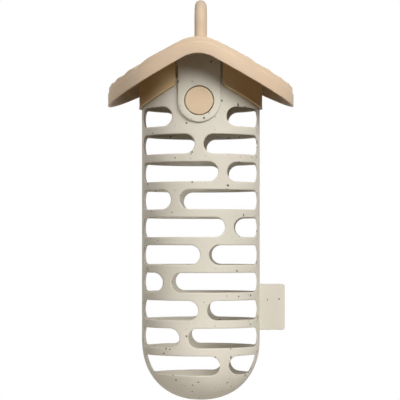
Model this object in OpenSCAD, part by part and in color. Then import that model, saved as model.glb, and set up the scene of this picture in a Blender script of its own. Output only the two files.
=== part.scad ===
// Suet ball feeder: a slotted basket that hangs under a round gabled roof.
// The roof stays up. Two sprung buttons under it catch in the basket's tongues.
// Heights are measured up from the lowest point of the basket, and each piece is
// then lowered, so that the origin is where the hook bears in the hanging loop.

/* [Basket] */
// Outer radius of the basket
basket_r = 52; // [48:0.5:56]
// Height of the basket's mouth
basket_h = 280.5; // [240:0.5:330]
// Wall of the basket
basket_wall = 2.7; // [2.2:0.1:3.4]
// Height of the rounded bottom
dome_h = 54.2; // [46:0.2:64]
// Fullness of the rounded bottom, 2 is an ellipse
dome_power = 2.2; // [2:0.05:2.6]
// Diameter of the drain holes
drain_d = 5; // [3:0.5:7]
// Distance of the outer drain holes from the middle
drain_ring_r = 15; // [10:0.5:22]

/* [Feeding slots] */
// Height of a slot
slot_h = 16.8; // [12:0.1:18]
// Distance from one row of slots to the next
slot_pitch = 23.9; // [21:0.1:28]
// Depth of the first row's middle below the mouth
first_slot_drop = 33.2; // [31:0.1:36]
// Lowest height that a slot may reach
sump_h = 23; // [20:0.5:30]
// Width of the post between the two slots of a row
post_w = 7.7; // [6:0.1:10]
// Bow of the slots' outer ends
slot_end_bow = 1.3; // [0.8:0.1:2.5]
// Solid land beside the tongue in the first row
tongue_land = 5; // [4:0.1:7]

/* [Tongues] */
// Width of a tongue
tongue_w = 37.1; // [32:0.1:40]
// Height that a tongue stands proud of the basket's wall
tongue_proud = 2.2; // [1.6:0.1:3]

/* [Buttons] */
// Diameter of a button
button_d = 24.1; // [20:0.1:26]
// Gap round a button in its hole
button_gap = 0.45; // [0.3:0.05:0.8]
// Depth of the buttons' middle below the mouth
button_drop = 20.3; // [18:0.1:22]
// Depth of a button's flat face behind the tongue's crest
button_sink = 0.5; // [0.2:0.1:1]
// Width of a latch's spring arm
arm_w = 16; // [12:0.5:20]
// Thickness of a latch's spring arm
arm_t = 1.8; // [1.4:0.1:2.4]
// Gap between a spring arm and the basket's wall
arm_gap = 0.6; // [0.4:0.1:1]
// Height of the latches' feet above the mouth
foot_rise = 19.5; // [17:0.1:20.5]
// Length of a latch's foot
foot_len = 18; // [16:0.5:20]
// Thickness of a latch's foot
foot_t = 2.5; // [2:0.1:3]

/* [Roof] */
// Radius of the roof's rim
roof_r = 81.8; // [76:0.2:92]
// Slope of the roof in degrees
roof_slope = 28.1; // [24:0.1:31]
// Height above the mouth at which the two rim edges would cross
rim_cross_h = 21.3; // [20:0.1:24]
// Radius of the rim's lower edge at the ridge
ridge_r = 27; // [24:0.5:32]
// Height of the smooth rim band, square to the slope
band_h = 9.8; // [8:0.1:10.5]
// Wall of the rim
rim_wall = 2.6; // [2:0.1:3.2]
// Height that the band stands proud of the deck's edge
band_proud = 0.8; // [0.4:0.1:1.4]
// Wall of the deck
deck_wall = 2.6; // [2:0.1:3.2]
// Pitch of the rolls in the deck
roll_pitch = 15.1; // [12:0.1:18]
// Rise of a roll above the valleys beside it
roll_rise = 1.9; // [1.2:0.1:2.6]
// Height of the rolls' crests above the rim's lower edge
crest_h = 14.3; // [13.5:0.1:16]

/* [Collar] */
// Gap between the basket and the collar
collar_fit = 0.3; // [0.2:0.05:0.6]
// Wall of the collar
collar_wall = 1.9; // [1.5:0.1:2.4]
// Depth of the collar's lower edge below the rim's, square to the slope
collar_drop = 15; // [12:0.1:17]
// Gap between a tongue and the collar beside it
notch_gap = 1.05; // [0.6:0.05:1.5]
// Radius of the collar's corners beside the tongues
notch_corner_r = 3; // [1.5:0.1:4]
// Thickness of the collar's screw ears
ear_t = 2.5; // [2:0.1:3]
// Radius of an ear's round end
ear_r = 5; // [4.5:0.1:6]
// Distance of the ears' screws from the middle
ear_reach = 42; // [38:0.5:44]
// Direction of the ears in degrees from the side
ear_turn = 38; // [34:1:42]
// Outer radius of the ring that joins the ears
web_r = 39; // [36:0.5:41]
// Width of the ring that joins the ears
web_w = 5; // [4:0.5:9]

/* [Hanging loop] */
// Diameter of the loop's rod
loop_d = 10.3; // [8:0.1:12]
// Height that the loop stands above the roof
loop_h = 39.6; // [34:0.2:60]
// Distance of each leg from the middle
leg_y = 15.1; // [13:0.1:18]
// Depth of the leg sockets below the valleys of the deck
socket_depth = 8; // [6:0.2:10]
// Floor under a leg socket
socket_floor = 3; // [2.5:0.1:4]
// Wall round a leg socket
socket_wall = 2.8; // [2.2:0.1:3.4]
// Height of the leg pads above the rolls
pad_proud = 0.6; // [0.4:0.1:1]

/* [Screws] */
// Distance of a latch's screws behind its arm
foot_screw_back = 11; // [9:0.5:13]
// Diameter of the lid screws
lid_screw_d = 3; // [2.5:0.1:3.5]
// Length of the lid screws under the head
lid_screw_len = 10; // [8:0.5:11]
// Diameter of the loop screws
loop_screw_d = 4; // [3.5:0.1:4.5]
// Length of the loop screws under the head
loop_screw_len = 16; // [12:0.5:20]
// Wall round a screw's pilot hole
boss_wall = 2.4; // [2:0.1:3]
// Distance of a latch's two screws from the middle
foot_screw_x = 6.5; // [6:0.1:8]

/* [Side tag] */
// Distance that the tag reaches out from the basket
tag_reach = 22.1; // [16:0.1:30]
// Height of the tag
tag_h = 40.5; // [30:0.5:50]
// Thickness of the tag
tag_t = 3; // [2.4:0.1:4]
// Height of the tag's middle
tag_mid_h = 81.9; // [80:0.1:110]
// Radius of the tag's corners
tag_corner_r = 2.2; // [1:0.1:4]
// Height of each lug that holds the tag in the basket's wall
tag_lug_h = 5; // [3:0.5:6]
// Thickness of the tag's lugs
tag_lug_t = 1.8; // [1.4:0.1:2.2]
// Height of the lugs' barbs, and half their length
tag_barb = 0.8; // [0.5:0.1:1]

/* [Fits] */
// Gap where the basket's mouth and tongues stop under the lid
seat_gap = 0.3; // [0.2:0.05:0.5]
// Gap round screws and plugged roots
close_fit = 0.1; // [0.05:0.01:0.2]
// Gap round a screw where it passes through a piece
pass_fit = 0.3; // [0.2:0.05:0.5]

/* [Hidden] */
$fn = 96;

SPECKLED = [0.84, 0.82, 0.77];
BEIGE = [0.88, 0.78, 0.66];
STEEL = [0.72, 0.73, 0.74];

// Side offset of each row's post, from the top row down
POST_X = [0, 0, 20.2, -20.6, 26, 4.7, -27.8, 3.1, -13.3, 21.6];
DOME_STEPS = 16;
// Plastic beside the heads of a latch's screws
foot_edge = 1.5;
// Length by which a cutting solid runs past what it cuts
EXTRA = 1;
// Degrees by which the turned ridge runs past the middle, where the halves are trimmed
PAST_RIDGE = 3;
// A screw's proportions, as shares of its diameter
HEAD_H = 0.55;
HEAD_D = 2;
HEAD_FACE_D = 1.6;
TIP_H = 0.6;
TIP_D = 0.25;
CROSS_W = 0.28;
CROSS_LEN = 1.1;

inner_r = basket_r - basket_wall;
first_slot_z = basket_h - first_slot_drop;
slot_rows = floor((first_slot_z - slot_h / 2 - sump_h) / slot_pitch) + 1;
end_arc_r = (slot_h * slot_h / 4 + slot_end_bow * slot_end_bow) / (2 * slot_end_bow);

// The tag's lugs sit in the solid bands between the rows of slots beside it
lug_zs = [for (row = [0 : slot_rows - 2])
    let (z = first_slot_z - (row + 0.5) * slot_pitch)
    if (abs(z - tag_mid_h) < (tag_h - tag_lug_h) / 2) z];

button_z = basket_h - button_drop;
button_r = button_d / 2;
pad_r = basket_r + tongue_proud;
arm_y = sqrt(pow(inner_r, 2) - pow(arm_w / 2, 2)) - arm_gap;
button_face_y = pad_r - button_sink;
foot_top = basket_h + foot_rise;
foot_screw_y = arm_y - foot_screw_back;
foot_w = 2 * (foot_screw_x + lid_screw_d + foot_edge);

ridge_z = basket_h + rim_cross_h - ridge_r / cos(roof_slope);
roll_r = (roll_pitch * roll_pitch / 4 + roll_rise * roll_rise) / (2 * roll_rise);
roll_mid = crest_h - roll_r;
roll_count = 2 * ceil(roof_r / roll_pitch);
under_roll_r = roll_r - deck_wall;
deck_r = roof_r - band_proud;
hollow_r = roof_r - rim_wall;
roof_top = ridge_z + ridge_r + crest_h;
roof_span = roof_r + 10;

collar_in = basket_r + collar_fit;
collar_out = collar_in + collar_wall;
notch_w = tongue_w + 2 * notch_gap;
ear_z = basket_h + seat_gap;

loop_top = roof_top + loop_h;
hook_h = loop_top - loop_d;
leg_r = loop_d / 2;
socket_z = ridge_z + ridge_r + valley_lift(roll_r) - socket_depth;
socket_r = leg_r + close_fit;

lid_pilot_r = lid_screw_d / 2 + close_fit;
loop_pilot_r = loop_screw_d / 2 + close_fit;

// Height above the rim's edge, square to the slope, at which two rolls meet
function valley_lift(r) = sqrt(r * r - roll_pitch * roll_pitch / 4) + roll_mid;

// Points of the rounded bottom, from the middle out, for a bowl of this size
function bowl(r, h, up) = [for (i = [0 : DOME_STEPS])
    let (a = 90 * i / DOME_STEPS)
    [r * pow(sin(a), 2 / dome_power), up + h - h * pow(cos(a), 2 / dome_power)]];

function reversed(list) = [for (i = [len(list) - 1 : -1 : 0]) list[i]];

// Lowers a piece so that the hook bears at the origin
module hung() {
    translate([0, 0, -hook_h]) children();
}

// Carries a front outline, drawn in X and Z, straight through from front to back
module through(depth) {
    rotate([90, 0, 0]) linear_extrude(height = depth, center = true) children();
}

// Everything under a gable line that lies this far above the rim's lower edge
module gable_2d(lift) {
    r = ridge_r + lift;
    bend_x = r * sin(roof_slope);
    bend_z = ridge_z + r * cos(roof_slope);
    tip_z = bend_z - (roof_span - bend_x) * tan(roof_slope);
    base_z = ridge_z - 2 * ridge_r - crest_h;
    translate([0, ridge_z]) circle(r = r);
    polygon([[-bend_x, bend_z], [bend_x, bend_z], [roof_span, tip_z], [roof_span, base_z],
             [-roof_span, base_z], [-roof_span, tip_z]]);
}

// Section across the rolls, with X as the distance from the ridge's centre line
module rolls_2d(r) {
    intersection() {
        for (i = [0 : roll_count - 1])
            translate([ridge_r + roll_mid, (i - roll_count / 2 + 0.5) * roll_pitch]) circle(r = r);
        translate([ridge_r + EXTRA, -roof_span]) square([crest_h, 2 * roof_span]);
    }
}

module right_side() {
    translate([0, -roof_span, 0]) cube([2 * roof_span, 2 * roof_span, 2 * roof_top]);
}

// Solid under one slope of the rolled deck and its share of the round ridge
module rolled_half(r) {
    slope_len = roof_span / cos(roof_slope);
    intersection() {
        translate([0, 0, ridge_z]) rotate([0, roof_slope, 0]) {
            rotate([0, -90, 0]) translate([0, 0, -slope_len])
                linear_extrude(height = slope_len) rolls_2d(r);
            rotate([90, 0, 0]) rotate([0, 0, 90])
                rotate_extrude(angle = roof_slope + PAST_RIDGE) rolls_2d(r);
        }
        right_side();
    }
}

// Right half of the roof's shell: rolled deck and rim band outside, hollow below
module half_shell() {
    difference() {
        union() {
            intersection() {
                rolled_half(roll_r);
                cylinder(r = deck_r, h = 2 * roof_top);
            }
            intersection() {
                through(2 * roof_span) gable_2d(band_h);
                cylinder(r = roof_r, h = 2 * roof_top);
                right_side();
            }
        }
        intersection() {
            union() {
                rolled_half(under_roll_r);
                through(2 * roof_span) gable_2d(2 * EXTRA);
            }
            cylinder(r = hollow_r, h = 2 * roof_top);
        }
        through(2 * roof_span) gable_2d(0);
    }
}

module ear_spots() {
    for (turn = [ear_turn, 180 - ear_turn, 180 + ear_turn, -ear_turn])
        rotate([0, 0, turn]) translate([ear_reach, 0, 0]) children();
}

module foot_spots() {
    for (x = [-1, 1], y = [-1, 1])
        translate([x * foot_screw_x, y * foot_screw_y, 0]) children();
}

module leg_spots() {
    for (y = [-1, 1]) translate([0, y * leg_y, 0]) children();
}

// Posts moulded under the deck for the screws
module roof_posts() {
    up = roof_top - basket_h;
    post_r = lid_pilot_r + boss_wall;
    translate([0, 0, ear_z + ear_t]) ear_spots() cylinder(r = post_r, h = up);
    translate([0, 0, foot_top]) foot_spots() cylinder(r = post_r, h = up);
}

// Square pads through the deck that hold the loop's legs and just top the rolls
module leg_pads() {
    half = socket_r + socket_wall;
    low_z = socket_z - socket_floor;
    leg_spots() translate([-half, -half, low_z])
        cube([2 * half, 2 * half, roof_top + pad_proud - low_z]);
}

module roof_holes() {
    translate([0, 0, ear_z + ear_t - EXTRA])
        ear_spots() cylinder(r = lid_pilot_r, h = lid_screw_len - ear_t + 2 * EXTRA);
    translate([0, 0, foot_top - EXTRA])
        foot_spots() cylinder(r = lid_pilot_r, h = lid_screw_len - foot_t + 2 * EXTRA);
    translate([0, 0, socket_z]) leg_spots() cylinder(r = socket_r, h = roof_top);
    translate([0, 0, socket_z - socket_floor - EXTRA])
        leg_spots() cylinder(r = loop_screw_d / 2 + pass_fit, h = socket_floor + 2 * EXTRA);
}

module roof_shell() {
    color(BEIGE) hung() difference() {
        union() {
            for (side = [0, 1]) mirror([side, 0, 0]) half_shell();
            leg_pads();
            intersection() {
                roof_posts();
                through(2 * roof_span) gable_2d(valley_lift(roll_r) - deck_wall / 2);
            }
        }
        roof_holes();
    }
}

module hanging_loop() {
    bend_z = loop_top - leg_y - leg_r;
    color(BEIGE) hung() difference() {
        union() {
            translate([0, 0, bend_z]) rotate([90, 0, 90])
                rotate_extrude(angle = 180) translate([leg_y, 0]) circle(r = leg_r);
            translate([0, 0, socket_z]) leg_spots() cylinder(r = leg_r, h = bend_z - socket_z);
        }
        translate([0, 0, socket_z - EXTRA]) leg_spots()
            cylinder(r = loop_pilot_r, h = loop_screw_len - socket_floor + 2 * EXTRA);
    }
}

// Pan head screw that points up, with its head below the origin
module screw_up(d, len) {
    head_h = HEAD_H * d;
    tip_h = TIP_H * d;
    cross_w = CROSS_W * d;
    cross_len = CROSS_LEN * d;
    cylinder(d = d, h = len - tip_h);
    translate([0, 0, len - tip_h]) cylinder(d1 = d, d2 = TIP_D * d, h = tip_h);
    difference() {
        translate([0, 0, -head_h]) cylinder(d1 = HEAD_FACE_D * d, d2 = HEAD_D * d, h = head_h);
        for (turn = [0, 90]) rotate([0, 0, turn])
            translate([-cross_len / 2, -cross_w / 2, -head_h - EXTRA])
                cube([cross_len, cross_w, head_h / 2 + EXTRA]);
    }
}

module loop_screws() {
    color(STEEL) hung() translate([0, 0, socket_z - socket_floor]) leg_spots()
        screw_up(loop_screw_d, loop_screw_len);
}

module lid_screws() {
    color(STEEL) hung() {
        translate([0, 0, ear_z]) ear_spots() screw_up(lid_screw_d, lid_screw_len);
        translate([0, 0, foot_top - foot_t]) foot_spots() screw_up(lid_screw_d, lid_screw_len);
    }
}

// Front view of the skirt: it follows the gable and leaves the tongues free
module skirt_2d() {
    low_cross = basket_h + rim_cross_h - collar_drop / cos(roof_slope);
    corner_x = notch_w / 2;
    round_x = corner_x + notch_corner_r;
    round_z = low_cross - round_x * tan(roof_slope) + notch_corner_r / cos(roof_slope);
    side_x = round_x - notch_corner_r * sin(roof_slope);
    difference() {
        gable_2d(valley_lift(under_roll_r) - seat_gap);
        gable_2d(-collar_drop);
        translate([-corner_x, 0]) square([notch_w, roof_top]);
        for (side = [0, 1]) mirror([side, 0]) difference() {
            polygon([[corner_x - EXTRA, round_z - notch_corner_r * 2], [corner_x - EXTRA, round_z],
                     [round_x, round_z], [side_x, round_z - notch_corner_r * cos(roof_slope)],
                     [side_x, round_z - notch_corner_r * 2]]);
            translate([round_x, round_z]) circle(r = notch_corner_r);
        }
    }
}

module neck_collar() {
    color(BEIGE) hung() {
        intersection() {
            through(2 * roof_span) skirt_2d();
            difference() {
                cylinder(r = collar_out, h = roof_top);
                translate([0, 0, -EXTRA]) cylinder(r = collar_in, h = roof_top + 2 * EXTRA);
            }
        }
        translate([0, 0, ear_z]) difference() {
            linear_extrude(height = ear_t) intersection() {
                union() {
                    difference() {
                        circle(r = web_r);
                        circle(r = web_r - web_w);
                    }
                    for (turn = [ear_turn, 180 - ear_turn, 180 + ear_turn, -ear_turn])
                        rotate([0, 0, turn]) translate([ear_reach, 0]) {
                            circle(r = ear_r);
                            translate([web_r - ear_reach - web_w / 2, -ear_r])
                                square([collar_out - web_r + web_w / 2, 2 * ear_r]);
                        }
                }
                circle(r = collar_in + collar_wall / 2);
            }
            translate([0, 0, -EXTRA]) ear_spots()
                cylinder(r = lid_screw_d / 2 + pass_fit, h = ear_t + 2 * EXTRA);
        }
    }
}

// Rear latch: a foot under the roof, a spring arm down inside the wall, and the button
module latch() {
    difference() {
        union() {
            translate([-foot_w / 2, arm_y - foot_len, foot_top - foot_t])
                cube([foot_w, foot_len, foot_t]);
            translate([-arm_w / 2, arm_y - arm_t, button_z])
                cube([arm_w, arm_t, foot_top - button_z]);
            translate([0, arm_y - arm_t, button_z]) rotate([-90, 0, 0])
                cylinder(r = button_r, h = button_face_y - arm_y + arm_t);
        }
        translate([0, 0, foot_top - foot_t - EXTRA]) foot_spots()
            cylinder(r = lid_screw_d / 2 + pass_fit, h = foot_t + 2 * EXTRA);
        translate([0, arm_y - arm_t - EXTRA, button_z]) rotate([-90, 0, 0])
            cylinder(r = button_r - arm_t, h = button_face_y - arm_y - arm_t / 2 + EXTRA);
    }
}

module front_latch() {
    color(BEIGE) hung() mirror([0, 1, 0]) latch();
}

module rear_latch() {
    color(BEIGE) hung() latch();
}

// One row of feeding slots, seen from the front: a round end at the post on each side
module slot_row_2d(row) {
    solid_w = row == 0 ? tongue_w + 2 * tongue_land : post_w;
    z = first_slot_z - row * slot_pitch;
    arc_x = inner_r - end_arc_r;
    intersection() {
        for (side = [-1, 1]) {
            round_x = POST_X[row % len(POST_X)] + side * (solid_w + slot_h) / 2;
            translate([round_x, z]) circle(d = slot_h);
            translate([side > 0 ? round_x : -basket_r, z - slot_h / 2])
                square([side > 0 ? basket_r - round_x : round_x + basket_r, slot_h]);
        }
        union() {
            for (side = [-1, 1]) translate([side * arc_x, z]) circle(r = end_arc_r);
            translate([-arc_x, z - slot_h]) square([2 * arc_x, 2 * slot_h]);
        }
        polygon(concat(bowl(inner_r, dome_h - basket_wall, basket_wall),
                       [[inner_r, basket_h], [-inner_r, basket_h]],
                       [for (p = reversed(bowl(inner_r, dome_h - basket_wall, basket_wall)))
                        if (p[0] > 0) [-p[0], p[1]]]));
    }
}

module tongue_2d() {
    intersection() {
        union() {
            translate([0, button_z]) circle(d = tongue_w);
            translate([-tongue_w / 2, button_z]) square([tongue_w, roof_top - button_z]);
        }
        gable_2d(valley_lift(under_roll_r) - seat_gap);
    }
}

module basket() {
    hole_r = button_r + button_gap;
    color(SPECKLED) hung() difference() {
        union() {
            rotate_extrude() polygon(concat(
                bowl(basket_r, dome_h, 0), [[basket_r, basket_h], [inner_r, basket_h]],
                reversed(bowl(inner_r, dome_h - basket_wall, basket_wall))));
            intersection() {
                through(2 * roof_span) tongue_2d();
                difference() {
                    cylinder(r = pad_r, h = roof_top);
                    translate([0, 0, -EXTRA]) cylinder(r = inner_r, h = roof_top + 2 * EXTRA);
                }
            }
        }
        through(2 * roof_span) {
            for (row = [0 : slot_rows - 1]) slot_row_2d(row);
            translate([0, button_z]) circle(r = hole_r);
        }
        translate([0, 0, -EXTRA]) cylinder(d = drain_d, h = 2 * basket_wall + 2 * EXTRA);
        for (turn = [45 : 90 : 315]) rotate([0, 0, turn]) translate([drain_ring_r, 0, -EXTRA])
            cylinder(d = drain_d, h = dome_h / 3);
        lug_slot_t = tag_lug_t + 2 * close_fit;
        lug_slot_h = tag_lug_h + 2 * close_fit;
        for (z = lug_zs) translate([0, -lug_slot_t / 2, z - lug_slot_h / 2])
            cube([basket_r + EXTRA, lug_slot_t, lug_slot_h]);
    }
}

// Flat plate with rounded outer corners, seen from the front, from the basket's wall outwards
module tag_plate_2d() {
    reach_x = basket_r + tag_reach;
    half_h = tag_h / 2;
    for (z = [-1, 1]) translate([reach_x - tag_corner_r, z * (half_h - tag_corner_r)])
        circle(r = tag_corner_r);
    translate([inner_r, -half_h]) square([reach_x - inner_r - tag_corner_r, tag_h]);
    translate([inner_r, tag_corner_r - half_h])
        square([reach_x - inner_r, tag_h - 2 * tag_corner_r]);
}

// Lug from the tag's plate through the basket's wall, with a barb on each face behind it
module tag_lug() {
    tip_x = inner_r - 2 * tag_barb;
    catch_x = inner_r - close_fit;
    half_t = tag_lug_t / 2;
    linear_extrude(height = tag_lug_h, center = true)
        polygon([[basket_r + tag_barb, -half_t], [basket_r + tag_barb, half_t],
                 [catch_x, half_t], [catch_x, half_t + tag_barb], [tip_x, half_t],
                 [tip_x, -half_t], [catch_x, -half_t - tag_barb], [catch_x, -half_t]]);
}

module side_tag() {
    color(SPECKLED) hung() {
        translate([0, 0, tag_mid_h]) difference() {
            through(tag_t) tag_plate_2d();
            cylinder(r = basket_r, h = 2 * tag_h, center = true);
        }
        for (z = lug_zs) translate([0, 0, z]) tag_lug();
    }
}

roof_shell();
hanging_loop();
loop_screws();
neck_collar();
lid_screws();
front_latch();
rear_latch();
basket();
side_tag();
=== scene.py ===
"""Suet ball feeder: its moulded plastic surfaces and a plain studio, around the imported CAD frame.

Heights in the functions are measured up from the basket's lowest point, and every piece is lowered
at the end so that the hook's seat in the loop is the origin. X is to the right and -Y to the front.
"""

import bmesh
import bpy
import numpy as np
from bpy.props import FloatProperty, FloatVectorProperty, IntProperty, PointerProperty
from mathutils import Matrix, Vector


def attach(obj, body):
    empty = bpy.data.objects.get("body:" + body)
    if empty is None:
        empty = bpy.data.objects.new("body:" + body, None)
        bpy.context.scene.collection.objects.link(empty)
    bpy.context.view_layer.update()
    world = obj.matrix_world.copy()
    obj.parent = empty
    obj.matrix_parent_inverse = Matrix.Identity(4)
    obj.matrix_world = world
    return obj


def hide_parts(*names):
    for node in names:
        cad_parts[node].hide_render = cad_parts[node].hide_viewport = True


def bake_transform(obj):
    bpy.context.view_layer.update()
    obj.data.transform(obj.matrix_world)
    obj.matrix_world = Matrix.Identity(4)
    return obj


bl_info = {
    "name": "Suet Ball Feeder",
    "version": (1, 0, 0),
    "blender": (4, 5, 0),
    "location": "3D View > Sidebar > Feeder",
    "description": "Builds a slotted suet ball feeder with a rolled roof and snap buttons",
    "category": "Add Mesh",
}

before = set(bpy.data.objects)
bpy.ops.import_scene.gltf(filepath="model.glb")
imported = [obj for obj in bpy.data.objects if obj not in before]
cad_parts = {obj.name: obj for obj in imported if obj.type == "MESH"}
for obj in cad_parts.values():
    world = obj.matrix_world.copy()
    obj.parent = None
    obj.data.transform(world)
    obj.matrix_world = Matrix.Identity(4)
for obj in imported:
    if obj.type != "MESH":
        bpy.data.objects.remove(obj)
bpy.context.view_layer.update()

MM = 0.001
FRONT, REAR = -1, 1
QUARTER = np.pi / 2
# Points nearer to each other than this become one
WELD = 0.002 * MM
# Angle between two columns of the basket's grids
COLUMN_STEP = np.radians(3)
# Points on each corner of a slot's outer end, on the bow between them, and on the whole end
CORNER_POINTS, BOW_POINTS = 5, 15
END_POINTS = 2 * CORNER_POINTS + BOW_POINTS
# Middle of each row's post in millimetres to the right, from the top row down; the first is the tongue's land
POST_X = [0, 0, 20.2, -20.6, 26, 4.7, -27.8, 3.1, -13.3, 21.6]


# Sizes and colours


def length(name, value, description):
    """A length in millimetres as a Blender property in metres."""
    return FloatProperty(name=name, description=description, default=value * MM, unit="LENGTH",
                         precision=5, min=0)


def angle(name, degrees, description):
    """An angle in degrees as a Blender property in radians."""
    return FloatProperty(name=name, description=description, default=np.radians(degrees), subtype="ANGLE")


def number(name, value, description, **unit):
    """A plain number as a Blender property."""
    return FloatProperty(name=name, description=description, default=value, **unit)


def colour(name, value, description):
    """A linear colour as a Blender property."""
    return FloatVectorProperty(name=name, description=description, default=value, subtype="COLOR",
                               size=3, min=0, max=1)


class FeederBasketSizes(bpy.types.PropertyGroup):
    hook_height: length("Hook height", 341.792, "Hook's seat above the basket's lowest point")
    radius: length("Radius", 52, "Outer radius of the basket")
    wall: length("Wall", 2.7, "Wall of the basket")
    mouth: length("Mouth", 280.5, "Height of the basket's mouth")
    bowl_height: length("Bottom", 54.2, "Height of the rounded bottom")
    bowl_power: number("Fullness", 2.2, "Power of the bottom's curve")
    slot_height: length("Slot", 16.8, "Height of a feeding slot")
    slot_pitch: length("Pitch", 23.9, "Distance between rows of slots")
    first_slot: length("First row", 247.3, "Height of the first row's middle")
    post_width: length("Post", 7.7, "Width of the post between two slots")
    end_bow: length("End bow", 1.3, "Bow of the slots' outer ends")
    corner: length("Corner", 1.3, "Rounding of the slots' outer corners")
    lip: length("Lip", 0.85, "Rounding of the slots' edges")
    drain: length("Drain", 5, "Diameter of the drain holes")
    drain_ring: length("Drain ring", 15, "Distance of the outer drain holes from the middle")
    rows: IntProperty(name="Rows", description="Rows of slots", default=10, min=2)


class FeederTongueSizes(bpy.types.PropertyGroup):
    width: length("Width", 37.1, "Width of a tongue")
    proud: length("Proud", 2.2, "Height that a tongue stands proud of the basket")
    land: length("Land", 5, "Solid land beside a tongue in the first row")
    edge: length("Edge", 1, "Rounding of a tongue's edge")
    foot: length("Foot", 0.7, "Hollow rounding where a tongue meets the basket")


class FeederLatchSizes(bpy.types.PropertyGroup):
    button: length("Button", 24.1, "Diameter of a button")
    gap: length("Gap", 0.7, "Gap round a button")
    height: length("Height", 260.2, "Height of the buttons' middle")
    sink: length("Sink", 0.5, "Depth of the button's face behind the tongue's crest")
    rim: length("Rim", 0.7, "Rounding of a button's rim")
    arm_width: length("Arm width", 16, "Width of the spring arm")
    arm: length("Arm", 1.8, "Thickness of the spring arm")
    arm_reach: length("Arm reach", 48.05, "Distance of the arm's outer face from the middle")
    foot_top: length("Foot top", 300, "Height of the top of the foot")
    foot_width: length("Foot width", 22, "Width of the foot")
    foot_length: length("Foot length", 18, "Length of the foot")
    foot: length("Foot", 2.5, "Thickness of the foot")
    bend: length("Bend", 3, "Radius of the bend between foot and arm")
    strip_edge: length("Strip edge", 0.6, "Rounding of the edges of foot and arm")


class FeederRoofSizes(bpy.types.PropertyGroup):
    radius: length("Radius", 81.8, "Radius of the rim")
    slope: angle("Slope", 28.1, "Slope of the roof")
    rim_cross: length("Rim cross", 301.8, "Height at which the two rim edges would cross")
    ridge_radius: length("Ridge", 27, "Radius of the rim's lower edge at the ridge")
    band: length("Band", 9.8, "Height of the smooth rim band, square to the slope")
    rim_wall: length("Rim wall", 2.6, "Wall of the rim")
    band_proud: length("Band proud", 0.8, "Height that the band stands proud of the deck's edge")
    deck_wall: length("Deck wall", 2.6, "Wall of the deck")
    deck_edge: length("Deck edge", 1.1, "Rounding of the deck's edge")
    brim: length("Brim", 0.5, "Rounding of the band's upper edge")
    foot: length("Foot", 0.7, "Rounding of the rim's lower edge")
    hollow: length("Hollow", 1.5, "Hollow rounding between rim and underside")
    under_gap: length("Under gap", 0.3, "Gap between the underside and the pieces that stop under it")
    roll_pitch: length("Roll pitch", 15.1, "Distance between the rolls of the deck")
    roll_rise: length("Roll rise", 2.5, "Rise of a roll above its valleys")
    crest: length("Crest", 14.7, "Height of the crests above the rim's lower edge")
    valley: length("Valley", 1, "Softness of the valleys between the rolls")
    pad_proud: length("Pad", 0.6, "Height of the loop's pads above the rolls")


class FeederCollarSizes(bpy.types.PropertyGroup):
    fit: length("Fit", 0.3, "Gap between basket and collar")
    wall: length("Wall", 1.9, "Wall of the collar")
    drop: length("Drop", 15, "Depth of the collar's edge below the rim's, square to the slope")
    notch_gap: length("Notch gap", 1.8, "Gap between a tongue and the collar")
    notch_corner: length("Notch corner", 3, "Radius of the corner beside a tongue")
    bead: length("Bead", 0.3, "Height of the bead along the collar's edge")
    ring: length("Ring", 39, "Outer radius of the ring that joins the ears")
    ring_width: length("Ring width", 5, "Width of the ring that joins the ears")
    ear: length("Ear", 5, "Half width of a screw ear")
    ear_thick: length("Ear thickness", 2.5, "Thickness of ears and ring")
    ear_edge: length("Ear edge", 0.4, "Rounding of the edges of ears and ring")
    ear_reach: length("Ear reach", 42, "Distance of the ears' screws from the middle")
    ear_turn: angle("Ear turn", 38, "Direction of the ears from the side")
    seat: length("Seat", 0.3, "Gap between the basket's mouth and the ears")


class FeederLoopSizes(bpy.types.PropertyGroup):
    rod: length("Rod", 10.3, "Diameter of the loop's rod")
    stand: length("Stand", 39.6, "Height that the loop stands above the roof")
    leg: length("Leg", 15.1, "Distance of each leg from the middle")
    socket: length("Socket", 302.6, "Height of the bottom of the leg sockets")
    socket_floor: length("Socket floor", 3, "Floor under a socket")
    socket_wall: length("Socket wall", 2.9, "Wall and gap round a leg in its socket")
    pad_corner: length("Pad corner", 2, "Radius of a pad's corners")
    pad_edge: length("Pad edge", 0.8, "Rounding of a pad's edges")


class FeederScrewSizes(bpy.types.PropertyGroup):
    lid: length("Lid screw", 3, "Diameter of the lid screws")
    lid_length: length("Lid screw length", 10, "Length of the lid screws")
    loop: length("Loop screw", 4, "Diameter of the loop screws")
    loop_length: length("Loop screw length", 16, "Length of the loop screws")
    foot_x: length("Foot screws apart", 6.5, "Distance of a latch's screws from the middle")
    foot_back: length("Foot screws back", 11, "Distance of a latch's screws behind its arm")
    boss: length("Boss", 4, "Radius of the posts that take the lid screws")
    boss_edge: length("Boss edge", 0.4, "Bevel of a post's lower edge")


class FeederTagSizes(bpy.types.PropertyGroup):
    reach: length("Reach", 22.1, "Distance that the tag reaches out from the basket")
    height: length("Height", 40.5, "Height of the tag")
    thick: length("Thickness", 3, "Thickness of the tag")
    middle: length("Middle", 81.9, "Height of the tag's middle")
    corner: length("Corner", 2.2, "Radius of the tag's corners")
    edge: length("Edge", 0.7, "Rounding of the tag's edges")
    lug: length("Lug", 5, "Height of a lug")
    lug_thick: length("Lug thickness", 1.8, "Thickness of a lug")
    barb: length("Barb", 0.8, "Height of a lug's barb")


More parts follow.
